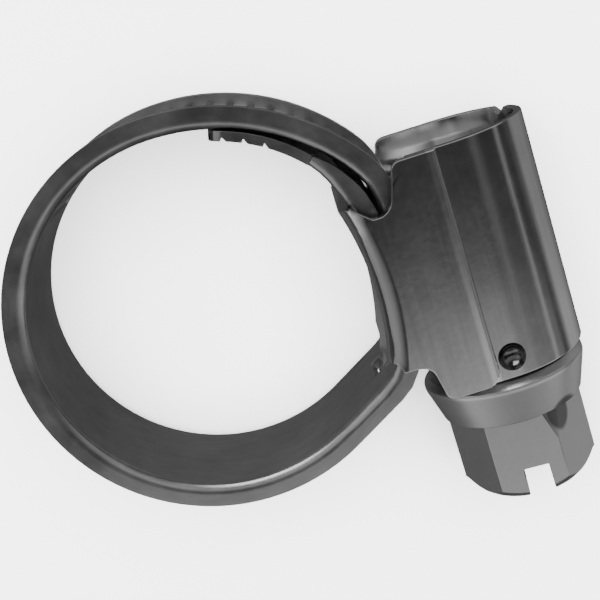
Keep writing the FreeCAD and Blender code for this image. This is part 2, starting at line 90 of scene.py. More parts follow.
class Workpiece:
    """A piece on the bench: one mesh object, shaped with edit-mode operators in millimetres."""

    def __init__(self, name: str) -> None:
        """Takes the primitive that was just added as the blank.

        Args:
            name: Name of the piece.
        """
        self.object: bpy.types.Object = bpy.context.object
        self.object.name = name
        self.object.data.name = name

    @staticmethod
    def clear_bench() -> None:
        """Deselects every object before a primitive is added."""
        if bpy.context.object and bpy.context.object.mode != "OBJECT":
            bpy.ops.object.mode_set(mode="OBJECT")
        bpy.ops.object.select_all(action="DESELECT")

    def grip(self) -> None:
        """Makes this the only selected object, and the active one."""
        self.clear_bench()
        self.object.select_set(True)
        bpy.context.view_layer.objects.active = self.object

    def settle(self) -> None:
        """Takes the place, turn and scale of the selected object into its mesh."""
        bpy.ops.object.transform_apply(location=True, rotation=True, scale=True)

    def open(self) -> None:
        """Enters edit mode with nothing selected."""
        self.grip()
        bpy.ops.object.mode_set(mode="EDIT")
        bpy.ops.mesh.select_all(action="DESELECT")

    def close(self) -> None:
        """Leaves edit mode."""
        bpy.ops.object.mode_set(mode="OBJECT")

    def pick_vertices(self, wanted: Callable[[Vector], bool]) -> None:
        """Selects vertices in edit mode.

        Args:
            wanted: Says of a place whether its vertex is wanted.
        """
        bpy.ops.mesh.select_mode(type="VERT")
        bpy.ops.mesh.select_all(action="DESELECT")
        mesh = bmesh.from_edit_mesh(self.object.data)
        for vertex in mesh.verts:
            if wanted(vertex.co):
                vertex.select = True
        mesh.select_flush(True)
        bmesh.update_edit_mesh(self.object.data)

    def pick_line(self, within: float = NEAR, **at: float) -> None:
        """Selects the vertices on a line in edit mode.

        Args:
            within: Distance in millimetres at which a vertex still counts.
            at: The line's two coordinates, by the name of their axis.
        """

        def on_line(co: Vector) -> bool:
            """Says whether a place is on the line."""
            return all(abs(getattr(co, axis) - place) < within for axis, place in at.items())

        self.pick_vertices(on_line)

    def pick_faces(self, wanted: Callable[[Vector, Vector], bool]) -> None:
        """Selects faces in edit mode.

        Args:
            wanted: Says of a middle and a normal whether the face is wanted.
        """
        bpy.ops.mesh.select_mode(type="FACE")
        bpy.ops.mesh.select_all(action="DESELECT")
        mesh = bmesh.from_edit_mesh(self.object.data)
        for face in mesh.faces:
            if wanted(face.calc_center_median(), face.normal):
                face.select_set(True)
        bmesh.update_edit_mesh(self.object.data)

    def draw_out(self, x: float, y: float, z: float) -> None:
        """Extrudes what is selected, in edit mode."""
        bpy.ops.mesh.extrude_region_move(TRANSFORM_OT_translate={"value": (x, y, z)})

    def fold(self, steps: int, degrees: float, centre: Vector, axis: Vector) -> None:
        """Folds what is selected round an axis, in edit mode.

        Args:
            steps: Flats in the fold.
            degrees: Angle of the fold.
            centre: A point of the axis.
            axis: Direction of the axis.
        """
        bpy.ops.mesh.spin(steps=steps, angle=math.radians(degrees), center=centre, axis=axis)

    def face_outwards(self) -> None:
        """Turns all the faces outwards."""
        self.open()
        bpy.ops.mesh.select_all(action="SELECT")
        bpy.ops.mesh.normals_make_consistent(inside=False)
        self.close()

    def reshape(self, place: Callable[[Vector], Vector]) -> None:
        """Moves every vertex to a new place.

        Args:
            place: Gives the new place for an old one.
        """
        for vertex in self.object.data.vertices:
            vertex.co = place(vertex.co.copy())
        self.object.data.update()

    def finish_with(self, kind: str, **settings: object) -> None:
        """Adds a modifier and applies it.

        Args:
            kind: Type of the modifier.
            settings: Its settings by name.
        """
        self.grip()
        modifier = self.object.modifiers.new(kind.title(), kind)
        for name, value in settings.items():
            setattr(modifier, name, value)
        bpy.ops.object.modifier_apply(modifier=modifier.name)

    def use_tool(self, tool: "Workpiece", cut: Cut) -> None:
        """Cuts this piece with another one, which is used up.

        Args:
            tool: The cutting piece.
            cut: How it acts.
        """
        self.finish_with("BOOLEAN", object=tool.object, operation=cut.value, solver="EXACT")
        bpy.data.objects.remove(tool.object)

    def join(self, other: "Workpiece") -> None:
        """Takes another piece into this one, as it is.

        Args:
            other: The piece, which is used up.
        """
        self.grip()
        other.object.select_set(True)
        bpy.ops.object.join()

    def break_edges(self, width: float, angle: float) -> None:
        """Rounds the sharp edges.

        Args:
            width: Width of the rounding in millimetres.
            angle: Least angle in degrees of an edge that is rounded.
        """
        self.finish_with(
            "BEVEL",
            width=width,
            segments=2,
            limit_method="ANGLE",
            angle_limit=math.radians(angle),
            use_clamp_overlap=False,
            miter_outer="MITER_ARC",
        )

    def weld(self, distance: float) -> None:
        """Merges vertices that lie together and turns the faces outwards.

        Args:
            distance: Largest gap that is closed, in millimetres.
        """
        self.open()
        bpy.ops.mesh.select_all(action="SELECT")
        bpy.ops.mesh.remove_doubles(threshold=distance)
        self.face_outwards()

    def hand_over(self, smooth_angle: float) -> bpy.types.Object:
        """Brings the piece to metres and shades it.

        Args:
            smooth_angle: Edges below this angle in degrees are shaded smooth.

        Returns:
            The finished object, at the origin.
        """
        self.grip()
        bpy.ops.object.shade_smooth_by_angle(angle=math.radians(smooth_angle))
        self.finish_with("WEIGHTED_NORMAL", keep_sharp=True, weight=90, thresh=0.001)
        self.object.scale = (MM, MM, MM)
        self.settle()
        return self.object


def add_block(name: str, low: Sequence[float], high: Sequence[float]) -> Workpiece:
    """Block between two corners.

    Args:
        name: Name of the block.
        low: Lowest corner in millimetres.
        high: Highest corner in millimetres.

    Returns:
        The block.
    """
    Workpiece.clear_bench()
    bpy.ops.mesh.primitive_cube_add(size=1, location=[(a + b) / 2 for a, b in zip(low, high)])
    block = Workpiece(name)
    block.object.scale = [b - a for a, b in zip(low, high)]
    block.settle()
    return block


def add_prism(name: str, outline: Sequence[tuple[float, float]], low: float, high: float) -> Workpiece:
    """Prism over an outline in the plane of the ring.

    Args:
        name: Name of the prism.
        outline: Corners in order, as x and y in millimetres.
        low: Lowest z.
        high: Highest z.

    Returns:
        The prism.
    """
    Workpiece.clear_bench()
    bpy.ops.mesh.primitive_circle_add(vertices=len(outline), radius=1, fill_type="NGON", location=(0, 0, 0))
    prism = Workpiece(name)
    for vertex, (x, y) in zip(prism.object.data.vertices, outline):
        vertex.co = (x, y, low)
    prism.object.data.update()
    prism.open()
    bpy.ops.mesh.select_all(action="SELECT")
    prism.draw_out(0, 0, high - low)
    prism.face_outwards()
    return prism


class Stretch(NamedTuple):
    """One straight or bend of the strip's path. A straight has no radius."""

    start: Vector
    heading: float
    length: float
    radius: Union[float, None]


def unit(angle: float) -> Vector:
    """Unit vector in the plane of the ring at an angle in degrees."""
    return Vector((math.cos(math.radians(angle)), math.sin(math.radians(angle)), 0))


def arc(centre: Vector, radius: float, start: int, end: int) -> list[Vector]:
    """Points on an arc in the plane of the ring.

    Args:
        centre: Its centre.
        radius: Its radius in millimetres.
        start: Angle in degrees at which it starts.
        end: Angle in degrees at which it ends.

    Returns:
        The points, as x and y.
    """
    step = CORNER_STEP if end > start else -CORNER_STEP
    return [(centre + unit(angle) * radius).xy for angle in range(start, end + step, step)]


@dataclass
class StripPath:
    """Hose-side line of the strip: straights and left-hand bends, each tangent to the last."""

    start: Vector
    heading: float
    stretches: dict[str, Stretch] = field(default_factory=dict)
    length: float = 0.0

    def line(self, name: str, length: float) -> None:
        """Adds a straight.

        Args:
            name: Its name.
            length: Its length in millimetres.
        """
        self.stretches[name] = Stretch(self.start, self.heading, length, None)
        self.start = self.start + unit(self.heading) * length
        self.length += length

    def bend(self, name: str, radius: float, angle: float) -> None:
        """Adds a bend to the left.

        Args:
            name: Its name.
            radius: Its radius in millimetres.
            angle: Its angle in degrees.
        """
        length = radius * math.radians(angle)
        self.stretches[name] = Stretch(self.start, self.heading, length, radius)
        centre = self.start + unit(self.heading + 90) * radius
        self.heading += angle
        self.start = centre - unit(self.heading + 90) * radius
        self.length += length

    def begins(self, name: str) -> float:
        """Distance along the path at which a stretch begins."""
        names = list(self.stretches)
        return sum(self.stretches[other].length for other in names[: names.index(name)])

    def locate(self, distance: float) -> tuple[Vector, float]:
        """Finds a place on the path.

        Args:
            distance: Distance along the path in millimetres.

        Returns:
            The point and the heading there in degrees.
        """
        *earlier, last = self.stretches.values()
        for stretch in earlier:
            if distance <= stretch.length:
                break
            distance -= stretch.length
        else:
            stretch = last
        if stretch.radius is None:
            return stretch.start + unit(stretch.heading) * distance, stretch.heading
        centre = stretch.start + unit(stretch.heading + 90) * stretch.radius
        heading = stretch.heading + math.degrees(distance / stretch.radius)
        return centre - unit(heading + 90) * stretch.radius, heading

    def bend_round(self, flat: Vector) -> Vector:
        """Takes a point of the flat strip to its place on the path.

        Args:
            flat: Distance along the strip, height over its hose side and place across it.

        Returns:
            The point in the frame of the clamp.
        """
        point, heading = self.locate(flat.x)
        return point + unit(heading - 90) * flat.y + ALONG_Z * flat.z


@dataclass
class Sizes:
    """Sizes in millimetres that the pieces share."""

    ring_radius: float = 10.6
    band_width: float = 9.0
    band_thickness: float = 0.6
    slip_gap: float = 0.05
    base_crown_x: float = 9.65
    fixed_crown_x: float = 10.2
    free_x: float = 11.2
    axis_x: float = 15.9
    rib_pitch: float = 1.2
    worm_radius: float = 4.05
    thread_at_band_y: float = -5.35


@dataclass
class Band:
    """The strip: edges rolled up, ribs pressed, then bent from the free end round the ring to the tongue."""

    sizes: Sizes
    edge_height: float = 1.35
    edge_bend: float = 0.6
    edge_rise: float = 0.25
    bend_steps: int = 5
    rib_height: float = 0.3
    rib_taper: float = 0.17
    rib_length: float = 6.6
    rib_core: float = 0.125
    rib_foot: float = 0.2
    # Painted light on the outer face: shade on every other rib at half strength, and a painted reflection
    # between the ribs.
    odd_rib_shade: float = 0.5
    painted_reflection_mark: float = -0.7
    outer_from: float = 0.4
    groove_depth: float = 0.25
    first_rib: float = 1.4
    last_rib_angle: float = 135.0
    tail_y: float = -5.9
    tail_flat: float = 1.2
    tail_corner: float = 1.8
    entry_bend: float = 4.0
    approach_ease: float = 2.2
    ring_start: float = 93.0
    ring_end: float = 300.0
    crank_bend: float = 2.0
    saddle_radius: float = 18.0
    saddle_y: float = -1.4
    saddle_end: float = 20.0
    mouth_bend: float = 5.0
    mouth_angle: float = 22.0
    tongue_radius: float = 9.8
    tongue_angle: float = 34.0
    tongue_width: float = 8.6
    tongue_corner: float = 0.9
    tongue_grooves: int = 3
    tongue_first_groove: float = 0.75
    tip_step: float = 0.15
    tail_trim_height: float = 0.4
    window_width: float = 2.5
    window_before_crank: float = 0.75
    window_crank_share: float = 0.9
    edge_break: float = 0.05
    break_from: float = 34.0

    @property
    def flat(self) -> float:
        """Half the width of the strip between its turned edges."""
        return self.sizes.band_width / 2 - self.edge_bend

    @property
    def approach_radius(self) -> float:
        """Radius of the bend by which the free end comes to the housing."""
        return self.sizes.ring_radius + self.approach_ease

    @property
    def entry_x(self) -> float:
        """Place of the middle of the bend into the housing."""
        return self.sizes.free_x - self.entry_bend

    def path(self) -> StripPath:
        """Lays out the path of the strip.

        Returns:
            The path from the tip of the free end to the tip of the tongue.
        """
        sizes = self.sizes
        centre = unit(self.ring_start) * -self.approach_ease
        entry_run = self.entry_x - centre.x
        entry_rise = math.sqrt((self.approach_radius - self.entry_bend) ** 2 - entry_run**2)
        entry_y = centre.y + entry_rise
        entry_angle = math.degrees(math.atan2(entry_rise, entry_run))
        path = StripPath(Vector((sizes.free_x, self.tail_y, 0)), 90.0)
        path.line("tail", entry_y - self.tail_y)
        path.bend("entry", self.entry_bend, entry_angle)
        path.bend("approach", self.approach_radius, self.ring_start - entry_angle)
        path.bend("ring", sizes.ring_radius, self.ring_end - self.ring_start)

        saddle_centre = Vector((sizes.base_crown_x - self.saddle_radius, self.saddle_y, 0))
        fixed_radius = sizes.fixed_crown_x - saddle_centre.x
        to_line = path.start + unit(path.heading + 90) * self.crank_bend - saddle_centre
        along = to_line.dot(unit(path.heading))
        room = (fixed_radius - self.crank_bend) ** 2 - to_line.length_squared
        straight = -along + math.sqrt(along**2 + room)
        crank_centre = to_line + unit(path.heading) * straight
        saddle_start = math.degrees(math.atan2(crank_centre.y, crank_centre.x))
        path.line("leave", straight)
        path.bend("crank", self.crank_bend, saddle_start + 90 + 360 - path.heading)
        path.bend("saddle", fixed_radius, self.saddle_end - saddle_start)
        path.bend("mouth", self.mouth_bend, self.mouth_angle)
        path.bend("tongue", self.tongue_radius, self.tongue_angle)
        return path

    def under_free_end(self, point: Vector) -> bool:
        """Says whether a point is on the hose side of the free end, clear of it.

        Args:
            point: Point in the plane of the ring.

        Returns:
            Whether it is.
        """
        gap = self.sizes.slip_gap
        entry_rise = math.sqrt((self.approach_radius - self.entry_bend) ** 2 - self.entry_x**2)
        entry_y = entry_rise - self.approach_ease
        if point.y < entry_y:
            return point.x < self.sizes.free_x - gap
        rise = point.y + self.approach_ease
        if math.atan2(rise, point.x) < math.atan2(entry_rise, self.entry_x):
            return math.hypot(point.x - self.entry_x, point.y - entry_y) < self.entry_bend - gap
        return math.hypot(point.x, rise) < self.approach_radius - gap

    def edge_top(self, path: StripPath, distance: float) -> float:
        """Finds the height of the turned edge, lower where the fixed end lies under the free end.

        Args:
            path: Path of the strip.
            distance: Distance along it.

        Returns:
            The height over the hose side.
        """
        if distance < path.begins("saddle"):
            return self.edge_height
        height = self.edge_height
        point, heading = path.locate(distance)
        out = unit(heading - 90)
        while height > self.sizes.band_thickness and not self.under_free_end(point + out * height):
            height -= self.sizes.slip_gap
        return height

    def rib_middles(self, path: StripPath) -> list[float]:
        """Places the ribs half-way between turns of the thread.

        Args:
            path: Path of the strip.

        Returns:
            Distances along the strip at which the ribs lie.
        """
        sizes = self.sizes
        least = self.tail_y + self.first_rib
        first = least + (sizes.thread_at_band_y + sizes.rib_pitch / 2 - least) % sizes.rib_pitch - self.tail_y
        last = path.begins("ring") + sizes.ring_radius * math.radians(self.last_rib_angle - self.ring_start)
        return [first + index * sizes.rib_pitch for index in range(int((last - first) / sizes.rib_pitch) + 1)]

    def groove_middles(self, path: StripPath) -> list[float]:
        """Distances along the strip at which the grooves of the tongue lie."""
        first = path.length - self.tongue_first_groove
        return [first - index * self.sizes.rib_pitch for index in range(self.tongue_grooves)]

    def fold_strip(self, path: StripPath, ribs: list[float]) -> Workpiece:
        """Folds the edges of the flat strip.

        Args:
            path: Path that the strip will take.
            ribs: Distances of the ribs.

        Returns:
            The hose-side surface of the strip, still flat: x along it, y out from the hose, z across.
        """
        half = self.sizes.band_width / 2
        flat = self.flat
        rib_end = self.rib_length / 2
        column = self.sizes.rib_pitch / 2
        start = ribs[0] - column / 2
        start -= column * math.ceil(start / column)
        columns = math.ceil((path.length - start) / column) + 1
        Workpiece.clear_bench()
        bpy.ops.mesh.primitive_grid_add(
            x_subdivisions=columns,
            y_subdivisions=1,
            size=1,
            location=(start + columns * column / 2, (self.edge_height + self.edge_bend) / 2, half),
        )
        strip = Workpiece("band")
        strip.object.scale = (columns * column, self.edge_height - self.edge_bend, 1)
        strip.settle()
        strip.open()
        strip.pick_line(y=self.edge_bend, z=half)
        strip.fold(self.bend_steps, 90, Vector((0, self.edge_bend, flat)), -ALONG_X)
        last = flat
        for z in (rib_end, 0.0, -rib_end, -flat):
            strip.pick_line(y=0, z=last)
            strip.draw_out(0, 0, z - last)
            last = z
        strip.pick_line(y=0, z=-flat)
        strip.fold(self.bend_steps, 90, Vector((0, self.edge_bend, -flat)), -ALONG_X)
        strip.pick_line(y=self.edge_bend, z=-half)
        strip.draw_out(0, self.edge_height - self.edge_bend, 0)
        strip.close()
        return strip

    def trim_ends(self, strip: Workpiece, path: StripPath) -> None:
        """Cuts the strip to length, trims the turned edges off both ends and rounds the two tips.

        Args:
            strip: The folded strip, flat.
            path: Path that it will take.
        """
        flat = self.flat
        tongue = path.begins("tongue")
        quarter_pitch = self.sizes.rib_pitch / 4
        cuts = [self.tail_flat, tongue]
        for middle in self.groove_middles(path):
            cuts += [middle - quarter_pitch, middle, middle + quarter_pitch]
        for end, inwards, corner in ((0.0, 1, self.tail_corner), (path.length, -1, self.tongue_corner)):
            cuts += [end + inwards * self.tip_step * step for step in range(1, int(corner / self.tip_step))]
        bites = [(0.0, -1, True), (path.length, 1, True)] + [(cut, 1, False) for cut in cuts]
        strip.open()
        for place, outwards, clear in bites:
            bpy.ops.mesh.select_all(action="SELECT")
            bpy.ops.mesh.bisect(
                plane_co=(place, 0, 0), plane_no=(outwards, 0, 0), clear_outer=clear, threshold=CUT_TOLERANCE
            )

        def edge_of_end(middle: Vector, normal: Vector) -> bool:
            """Says whether a face belongs to a turned edge at an end."""
            at_tail = middle.x < self.tail_flat and middle.y > self.tail_trim_height
            return abs(middle.z) > flat and (middle.x > tongue or at_tail)

        strip.pick_faces(edge_of_end)
        bpy.ops.mesh.delete(type="FACE")
        for side in (-1, 1):
            strip.pick_vertices(
                lambda co: abs(co.z - side * flat) < NEAR and co.y < NEAR and co.x > tongue - NEAR
            )
            strip.draw_out(0, 0, side * (self.tongue_width / 2 - flat))
        bpy.ops.mesh.select_all(action="SELECT")
        bpy.ops.mesh.remove_doubles(threshold=LOOSE)
        strip.close()

        def tip(co: Vector) -> Vector:
            """Moves a point of a corner in to the rounded tip.

            Args:
                co: Point of the flat strip.

            Returns:
                Its new place.
            """
            for end, inwards, width, corner in (
                (0.0, 1, self.sizes.band_width / 2, self.tail_corner),
                (path.length, -1, self.tongue_width / 2, self.tongue_corner),
            ):
                depth = (co.x - end) * inwards
                if depth < corner:
                    reach = width - corner + math.sqrt(max(corner**2 - (corner - depth) ** 2, 0))
                    co.z = max(-reach, min(reach, co.z))
            return co

        strip.reshape(tip)

    def cut_window(self, strip: Workpiece, path: StripPath) -> None:
        """Cuts the window that the tab of the housing locks into.

        Args:
            strip: The folded strip, flat.
            path: Path that it will take.
        """
        crank = path.begins("crank")
        start = crank - self.window_before_crank
        end = crank + path.stretches["crank"].length * self.window_crank_share
        half = self.window_width / 2
        room = 1.0

        def near(middle: Vector, normal: Vector) -> bool:
            """Says whether a face is near the window."""
            return start - room < middle.x < end + room and abs(middle.z) < self.rib_length / 2

        strip.open()
        for place, across in ((start, ALONG_X), (end, ALONG_X), (-half, ALONG_Z), (half, ALONG_Z)):
            strip.pick_faces(near)
            bpy.ops.mesh.bisect(plane_co=across * place, plane_no=across, threshold=CUT_TOLERANCE)
        strip.pick_faces(lambda middle, normal: start < middle.x < end and abs(middle.z) < half)
        bpy.ops.mesh.delete(type="FACE")
        strip.close()

    def press_ribs(self, strip: Workpiece, path: StripPath, ribs: list[float]) -> None:
        """Presses the ribs out of the strip, and the grooves into the tongue.

        Args:
            strip: The strip with its thickness, flat.
            path: Path that it will take.
            ribs: Distances of the ribs.
        """
        outer_top = self.sizes.band_thickness + 0.1

        def in_rib(middle: Vector) -> bool:
            """Says whether a face lies where a rib is pressed."""
            return self.on_rib(middle, ribs, self.rib_core) is not None

        strip.open()
        strip.pick_faces(lambda middle, normal: normal.y > SQUARE and middle.y < outer_top and in_rib(middle))
        bpy.ops.mesh.inset(thickness=self.rib_taper, depth=self.rib_height)
        strip.close()
        self.paint_rib_light_and_shade(strip, ribs)
        strip.open()
        strip.pick_faces(lambda middle, normal: normal.y < -SQUARE and in_rib(middle))
        bpy.ops.mesh.inset(thickness=self.rib_taper, depth=-self.groove_depth)
        for place in self.groove_middles(path):
            strip.pick_line(LOOSE, x=place, y=0)
            bpy.ops.transform.translate(value=(0, self.groove_depth, 0))
        strip.close()

    def on_rib(self, middle: Vector, ribs: list[float], reach: float) -> Union[int, None]:
        """Finds the rib that a face of the flat strip lies on.

        Args:
            middle: Middle of the face.
            ribs: Distances of the ribs.
            reach: Distance from a rib's middle that still counts, in pitches.

        Returns:
            Number of the rib, or None.
        """
        along = (middle.x - ribs[0]) / self.sizes.rib_pitch
        rib = round(along)
        on_it = abs(along - rib) < reach and abs(middle.z) < self.rib_length / 2
        return rib if on_it and 0 <= rib < len(ribs) else None

    def paint_rib_light_and_shade(self, strip: Workpiece, ribs: list[float]) -> None:
        """Paints light and shade on the outer face: a painted reflection between the ribs, and painted shade
        on them, most on every other one.

        Args:
            strip: The strip with its ribs pressed, flat.
            ribs: Distances of the ribs.
        """
        mesh = strip.object.data
        marks = mesh.attributes.new(RIB_SHADE_MARK, "FLOAT", "FACE")
        for face in mesh.polygons:
            if face.normal.y <= 1 - SQUARE or face.center.y <= self.outer_from:
                continue
            rib = self.on_rib(face.center, ribs, self.rib_foot)
            if rib is not None:
                marks.data[face.index].value = self.odd_rib_shade if rib % 2 else 1.0
            elif face.normal.y > SQUARE:
                marks.data[face.index].value = self.painted_reflection_mark

    def make(self) -> Workpiece:
        """Makes the band.

        Returns:
            The bent band, in millimetres.
        """
        path = self.path()
        ribs = self.rib_middles(path)
        strip = self.fold_strip(path, ribs)
        self.trim_ends(strip, path)
        self.cut_window(strip, path)

        def dress(co: Vector) -> Vector:
            """Brings a point at the top of a turned edge to its height.

            Args:
                co: Point of the flat strip.

            Returns:
                Its new place.
            """
            if co.y > self.edge_height - NEAR:
                rise = self.edge_bend + max(0.0, path.begins("tongue") - co.x) * self.edge_rise
                co.y = min(self.edge_top(path, co.x), rise)
            return co

        strip.reshape(dress)
        strip.face_outwards()
        middle = ALONG_X * (path.length / 2)
        flat_face = min(strip.object.data.polygons, key=lambda face: (face.center - middle).length)
        inwards = -1 if flat_face.normal.y < 0 else 1
        strip.finish_with("SOLIDIFY", thickness=self.sizes.band_thickness, offset=inwards, use_rim=True)
        strip.weld(NEAR)
        self.press_ribs(strip, path, ribs)
        strip.break_edges(self.edge_break, self.break_from)
        strip.reshape(path.bend_round)
        strip.face_outwards()
        return strip


class Opening(NamedTuple):
    """Opening at an end of the housing, with its places in millimetres. Outwards is 1 or -1, along y."""

    name: str
    end_y: float
    outwards: int
    wall_top: float
    slant: float
    wall_y: float
    lip: float
    base_y: float


@dataclass
class Housing:
    """The sheet housing: folded round the worm and lapped on its near side."""

    sizes: Sizes
    sheet: float = 0.5
    barrel_radius: float = 5.2
    near_wall: float = 5.75
    far_wall: float = 5.15
    lower_bend: float = 1.2
    bend_steps: int = 6
    barrel_steps: int = 44
    mouth_y: float = 5.5
    exit_y: float = -8.9
    columns: int = 24
    saddle_radius: float = 18.0
    saddle_y: float = -1.4
    wall_top_of_mouth: float = 0.55
    wall_mouth_y: float = 2.75
    base_mouth_y: float = 3.65
    mouth_slant: float = 0.65
    base_lip: float = 0.5
    wall_top_of_exit: float = 0.2
    wall_exit_y: float = -6.5
    exit_slant: float = 0.35
    wall_exit_lip: float = 0.2
    base_exit_y: float = -5.89
    lock_tab_width: float = 2.3
    lock_tab_length: float = 2.2
    corner_radius: float = 0.7
    rim_radius: float = 0.6
    lap_corner: float = 1.0
    lap_edge: float = 0.75
    lap_length: float = 1.8
    lap_round: float = 0.35
    notch_width: float = 1.3
    notch_depth: float = 0.45
    notch_angle: float = 27.0
    stake_y: float = -7.6
    stake_off: float = 0.2
    stake_radius: float = 0.85
    stake_depth: float = 0.6
    stake_wall: float = 0.3
    corner_steps: int = 6
    lap_steps: int = 4
    stake_steps: int = 40
    cut_weld: float = 0.02
    edge_break: float = 0.09
    break_from: float = 40.0

    def fold_sheet(self) -> Workpiece:
        """Folds the sheet from its lapped edge down the near side, under, up the far side and over the worm.

        Returns:
            The outer surface of the housing.
        """
        top = self.sizes.axis_x - self.lap_edge
        low = self.sizes.base_crown_x + self.lower_bend
        length = self.mouth_y - self.exit_y
        Workpiece.clear_bench()
        bpy.ops.mesh.primitive_grid_add(
            x_subdivisions=6,
            y_subdivisions=self.columns,
            size=1,
            location=((top + low) / 2, (self.mouth_y + self.exit_y) / 2, self.near_wall),
        )
        sheet = Workpiece("housing")
        sheet.object.scale = (top - low, length, 1)
        sheet.settle()
        sheet.open()
        crown_x = self.sizes.base_crown_x
        axis_x = self.sizes.axis_x
        near = self.near_wall - self.lower_bend
        far = self.far_wall - self.lower_bend
        sheet.pick_line(x=low, z=self.near_wall)
        sheet.fold(self.bend_steps, 90, Vector((low, 0, near)), ALONG_Y)
        sheet.pick_line(x=crown_x, z=near)
        sheet.draw_out(0, 0, -near - far)
        sheet.pick_line(x=crown_x, z=-far)
        sheet.fold(self.bend_steps, 90, Vector((low, 0, -far)), ALONG_Y)
        sheet.pick_line(x=low, z=-self.far_wall)
        sheet.draw_out(top - low, 0, 0)
        sheet.pick_line(x=top, z=-self.far_wall)
        sheet.draw_out(self.lap_edge, 0, self.far_wall - self.barrel_radius)
        sheet.pick_line(x=axis_x, z=-self.barrel_radius)
        sheet.fold(self.barrel_steps, 180, ALONG_X * axis_x, ALONG_Y)
        sheet.pick_line(x=axis_x, z=self.barrel_radius)
        sheet.draw_out(-self.lap_edge - self.lap_length, 0, 0)
        sheet.close()
        return sheet

    def press_saddle(self, co: Vector) -> Vector:
        """Curves the base plate to the hose.

        Args:
            co: Point of the folded sheet.

        Returns:
            Its new place.
        """
        fade_end = self.sizes.base_crown_x + 2 * self.lower_bend
        fade = min(1.0, max(0.0, (fade_end - co.x) / self.lower_bend))
        sag = self.saddle_radius - math.sqrt(self.saddle_radius**2 - (co.y - self.saddle_y) ** 2)
        return co - ALONG_X * sag * fade

    def press_stake(self, housing: Workpiece) -> None:
        """Presses the stake into the barrel over the neck of the screw.

        Args:
            housing: The housing with its edges finished.
        """
        ball = (self.stake_radius**2 + self.stake_depth**2) / (2 * self.stake_depth)
        height = self.barrel_radius - self.stake_depth + ball
        place = Vector((self.sizes.axis_x + self.stake_off, self.stake_y, height))
        for name, radius, cut in (("boss", ball + self.stake_wall, Cut.ONTO), ("dent", ball, Cut.AWAY)):
            Workpiece.clear_bench()
            bpy.ops.mesh.primitive_uv_sphere_add(
                segments=self.stake_steps, ring_count=self.stake_steps // 2, radius=radius, location=place
            )
            tool = Workpiece(name)
            tool.settle()
            if cut is Cut.ONTO:
                inside = ALONG_Z * (self.barrel_radius - self.sheet / 2)
                tool.open()
                bpy.ops.mesh.select_all(action="SELECT")
                bpy.ops.mesh.bisect(plane_co=inside, plane_no=ALONG_Z, clear_outer=True, use_fill=True)
                tool.close()
            housing.use_tool(tool, cut)

    def cut_openings(self, housing: Workpiece) -> None:
        """Cuts the mouth and the exit, and leaves the tab that locks into the band.

        Args:
            housing: The folded sheet with its thickness.
        """
        sizes = self.sizes
        beyond = 1.0
        clear = 0.2
        mouth = Opening(
            "mouth",
            end_y=self.mouth_y,
            outwards=1,
            wall_top=sizes.free_x + self.wall_top_of_mouth,
            slant=self.mouth_slant,
            wall_y=self.wall_mouth_y,
            lip=sizes.fixed_crown_x + self.base_lip,
            base_y=self.base_mouth_y,
        )
        way_out = Opening(
            "exit",
            end_y=self.exit_y,
            outwards=-1,
            wall_top=sizes.free_x + self.wall_top_of_exit,
            slant=self.exit_slant,
            wall_y=self.wall_exit_y,
            lip=sizes.base_crown_x + self.wall_exit_lip,
            base_y=self.base_exit_y,
        )
        housing.use_tool(self.opening_tool(mouth, beyond), Cut.AWAY)
        leave = self.opening_tool(way_out, beyond)
        half = self.lock_tab_width / 2
        tab_top = sizes.base_crown_x + self.sheet
        tab_end = self.base_exit_y - self.lock_tab_length
        tab = add_block("tab", (-beyond, tab_end, -half), (tab_top, self.base_exit_y + beyond, half))
        leave.use_tool(tab, Cut.AWAY)
        housing.use_tool(leave, Cut.AWAY)
        edge_x = sizes.axis_x - self.lap_edge
        lap = Vector((edge_x - self.lap_corner, self.exit_y + self.lap_corner, 0))
        corner = add_prism(
            "corner",
            [
                (edge_x + clear, self.exit_y - beyond),
                (lap.x, self.exit_y - beyond),
                *arc(lap, self.lap_corner, 270, 360),
                (edge_x + clear, lap.y),
            ],
            self.near_wall - self.sheet - clear / 10,
            2 * self.barrel_radius,
        )
        housing.use_tool(corner, Cut.AWAY)
        notch = add_prism(
            "notch",
            [
                (-self.notch_width, self.mouth_y + self.notch_depth),
                (0, self.mouth_y - self.notch_depth),
                (self.notch_width, self.mouth_y + self.notch_depth),
            ],
            0,
            2 * self.barrel_radius,
        )
        turn = Quaternion(ALONG_Y, math.radians(90 + self.notch_angle))
        centre = ALONG_X * sizes.axis_x
        notch.reshape(lambda co: turn @ co + centre)
        housing.use_tool(notch, Cut.AWAY)

    def opening_tool(self, opening: Opening, beyond: float) -> Workpiece:
        """Makes the tool for one of the two openings.

        Args:
            opening: The opening.
            beyond: Distance by which the tool stands out of the housing.

        Returns:
            The tool.
        """
        corner_x = opening.wall_top + opening.slant + self.rim_radius
        rim = Vector((corner_x, opening.end_y - opening.outwards * self.rim_radius, 0))
        clear_y = opening.end_y + opening.outwards * beyond
        tool = add_prism(
            opening.name,
            [
                (corner_x, clear_y),
                *arc(rim, self.rim_radius, 180 - opening.outwards * 90, 180),
                (opening.wall_top, opening.wall_y),
                (opening.lip, opening.wall_y),
                (self.sizes.base_crown_x, opening.base_y),
                (0, opening.base_y),
                (0, clear_y),
            ],
            -2 * self.barrel_radius,
            2 * self.barrel_radius,
        )
        tool.open()
        tool.pick_line(x=opening.wall_top, y=opening.wall_y)
        bpy.ops.mesh.bevel(offset=self.corner_radius, segments=self.corner_steps, affect="EDGES")
        tool.close()
        return tool

